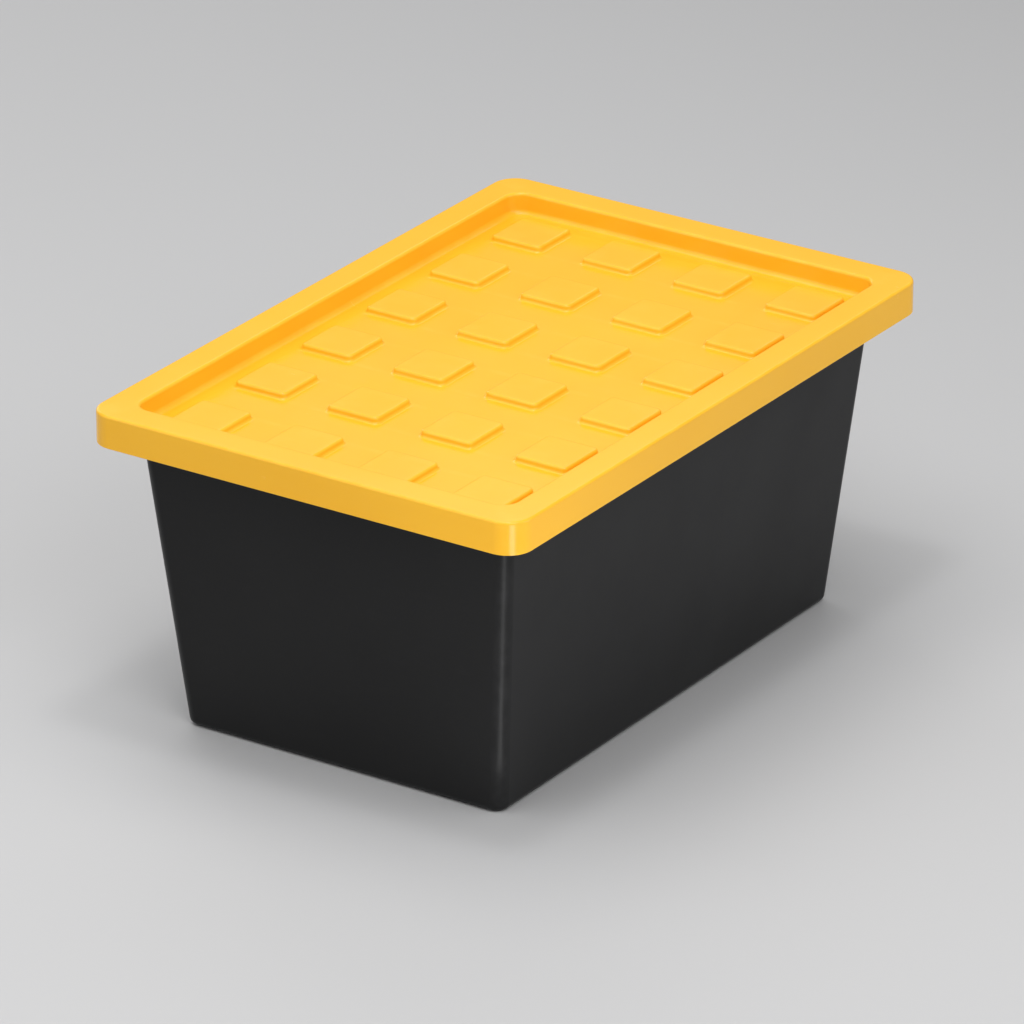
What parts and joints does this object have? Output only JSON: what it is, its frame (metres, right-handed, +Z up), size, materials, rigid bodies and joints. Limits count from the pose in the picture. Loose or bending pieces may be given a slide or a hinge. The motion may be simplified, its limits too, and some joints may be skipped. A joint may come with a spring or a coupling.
{
  "type": "stackable storage bin",
  "caption": "Tapered rectangular plastic tub with an out-turned rim and a press-on lid whose sunken, padded panel seats the next bin in a stack.",
  "frame": {"origin": "on the floor under the middle of the tub's foot", "axes": "+X across the bin towards one long side, +Y along the bin, +Z up out of the tub's mouth"},
  "size_m": [0.523, 0.775, 0.362],
  "materials": {
    "tub_plastic": "charcoal black moulded plastic, fine satin grain",
    "lid_plastic": "golden yellow moulded plastic, soft gloss"
  },
  "bodies": {
    "tub": {"tub": "tub_plastic"},
    "lid": {"lid": "lid_plastic"}
  },
  "joints": [
    {"name": "lid_lift", "type": "slide", "parent": "tub", "child": "lid", "axis": [0, 0, 1], "range_m": [0, 0.3]}
  ]
}
